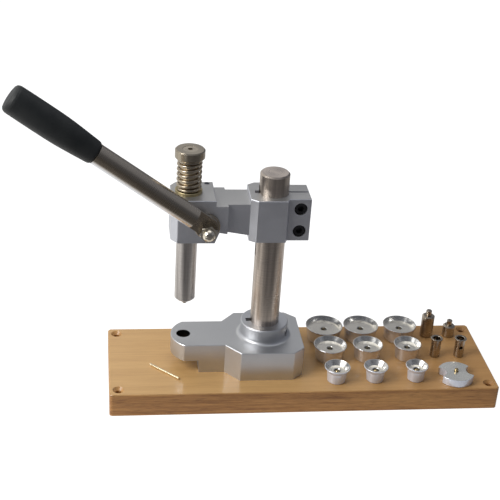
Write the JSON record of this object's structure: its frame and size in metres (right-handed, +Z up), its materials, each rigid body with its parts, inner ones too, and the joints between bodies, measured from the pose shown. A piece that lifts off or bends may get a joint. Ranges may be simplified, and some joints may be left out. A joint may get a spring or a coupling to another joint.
{
  "type": "watch case press",
  "caption": "Bench lever press for closing watch cases: spring-returned ram and rack on a column arm, over a wooden board with cup dies and adapters.",
  "frame": {"origin": "centre of the wooden board's underside, which is also the centre of its corner screw holes", "axes": "+X along the board from the ram end to the dies, +Y away from the side the lever is on, +Z up"},
  "size_m": [0.4217, 0.106, 0.2855],
  "materials": {
    "wood_board": "lacquered beech",
    "foot_aluminium": "satin",
    "arm_aluminium": "satin, machined",
    "ground_steel": "ground and polished",
    "turned_steel": "turned",
    "dark_steel": "oiled steel",
    "key_steel": "drawn",
    "spring_steel": "bright wire",
    "black_screws": "black oxide",
    "bronze_bushes": "sintered bronze",
    "brass_pegs": "turned",
    "die_aluminium": "bright turned",
    "black_grip": "satin",
    "polished_nut": "polished"
  },
  "bodies": {
    "base": {"base_board": "wood_board", "die_pegs": "brass_pegs", "foot_screws": "black_screws", "foot_block": "foot_aluminium", "column": "ground_steel", "foot_key": "key_steel", "column_grub_screw": "black_screws"},
    "arm": {"press_arm": "arm_aluminium", "arm_key": "key_steel", "clamp_screws": "black_screws", "bearing_set_screw": "black_screws", "upper_guide_bush": "bronze_bushes", "lower_guide_bush": "bronze_bushes", "front_bearing_bush": "bronze_bushes", "rear_bearing_bush": "bronze_bushes", "return_spring": "spring_steel"},
    "ram_unit": {"ram": "ground_steel", "ram_tip": "dark_steel", "ram_cap": "turned_steel", "cap_screw": "turned_steel"},
    "lever": {"pinion_shaft": "turned_steel", "rear_thrust_washer": "turned_steel", "shaft_retaining_ring": "dark_steel", "lever_rod": "ground_steel", "lever_grip": "black_grip", "acorn_nut": "polished_nut"},
    "case_die_34_loose": {"case_die_34": "die_aluminium"},
    "case_die_32_loose": {"case_die_32": "die_aluminium"},
    "case_die_31_loose": {"case_die_31": "die_aluminium"},
    "case_die_30_loose": {"case_die_30": "die_aluminium"},
    "case_die_27_loose": {"case_die_27": "die_aluminium"},
    "case_die_25_loose": {"case_die_25": "die_aluminium"},
    "case_die_23_loose": {"case_die_23": "die_aluminium"},
    "case_die_21_loose": {"case_die_21": "die_aluminium"},
    "case_die_20_loose": {"case_die_20": "die_aluminium"},
    "notched_disc_loose": {"notched_disc": "die_aluminium"},
    "tall_adapter_loose": {"tall_adapter": "dark_steel"},
    "short_adapter_loose": {"short_adapter": "dark_steel"},
    "flanged_sleeve_left_loose": {"flanged_sleeve_left": "dark_steel"},
    "flanged_sleeve_right_loose": {"flanged_sleeve_right": "dark_steel"},
    "tommy_bar_loose": {"tommy_bar": "ground_steel"}
  },
  "joints": [
    {"name": "arm_height", "type": "slide", "parent": "base", "child": "arm", "axis": [0, 0, 1], "range_m": [-0.02, 0.008]},
    {"name": "lever_swing", "type": "hinge", "parent": "arm", "child": "lever", "pos_m": [-0.09126, 0, 0.1644], "axis": [0, -1, 0], "range_deg": [0, 65]},
    {"name": "ram_travel", "type": "slide", "parent": "arm", "child": "ram_unit", "axis": [0, 0, -1], "range_m": [0, 0.0092], "stiffness_N_per_m": 9000, "springref_m": -0.0075, "deforming": ["return_spring"]},
    {"name": "case_die_34_lift", "type": "slide", "parent": "base", "child": "case_die_34_loose", "axis": [0, 0, 1], "range_m": [0, 0.03]},
    {"name": "case_die_32_lift", "type": "slide", "parent": "base", "child": "case_die_32_loose", "axis": [0, 0, 1], "range_m": [0, 0.03]},
    {"name": "case_die_31_lift", "type": "slide", "parent": "base", "child": "case_die_31_loose", "axis": [0, 0, 1], "range_m": [0, 0.03]},
    {"name": "case_die_30_lift", "type": "slide", "parent": "base", "child": "case_die_30_loose", "axis": [0, 0, 1], "range_m": [0, 0.03]},
    {"name": "case_die_27_lift", "type": "slide", "parent": "base", "child": "case_die_27_loose", "axis": [0, 0, 1], "range_m": [0, 0.03]},
    {"name": "case_die_25_lift", "type": "slide", "parent": "base", "child": "case_die_25_loose", "axis": [0, 0, 1], "range_m": [0, 0.03]},
    {"name": "case_die_23_lift", "type": "slide", "parent": "base", "child": "case_die_23_loose", "axis": [0, 0, 1], "range_m": [0, 0.03]},
    {"name": "case_die_21_lift", "type": "slide", "parent": "base", "child": "case_die_21_loose", "axis": [0, 0, 1], "range_m": [0, 0.03]},
    {"name": "case_die_20_lift", "type": "slide", "parent": "base", "child": "case_die_20_loose", "axis": [0, 0, 1], "range_m": [0, 0.03]},
    {"name": "notched_disc_lift", "type": "slide", "parent": "base", "child": "notched_disc_loose", "axis": [0, 0, 1], "range_m": [0, 0.03]},
    {"name": "tall_adapter_lift", "type": "slide", "parent": "base", "child": "tall_adapter_loose", "axis": [0, 0, 1], "range_m": [0, 0.03]},
    {"name": "short_adapter_lift", "type": "slide", "parent": "base", "child": "short_adapter_loose", "axis": [0, 0, 1], "range_m": [0, 0.03]},
    {"name": "flanged_sleeve_left_lift", "type": "slide", "parent": "base", "child": "flanged_sleeve_left_loose", "axis": [0, 0, 1], "range_m": [0, 0.03]},
    {"name": "flanged_sleeve_right_lift", "type": "slide", "parent": "base", "child": "flanged_sleeve_right_loose", "axis": [0, 0, 1], "range_m": [0, 0.03]},
    {"name": "tommy_bar_lift", "type": "slide", "parent": "base", "child": "tommy_bar_loose", "axis": [0, 0, 1], "range_m": [0, 0.03]}
  ],
  "couplings": [
    {"joint": "ram_travel", "follows": "lever_swing", "m_per_rad": 0.008}
  ]
}
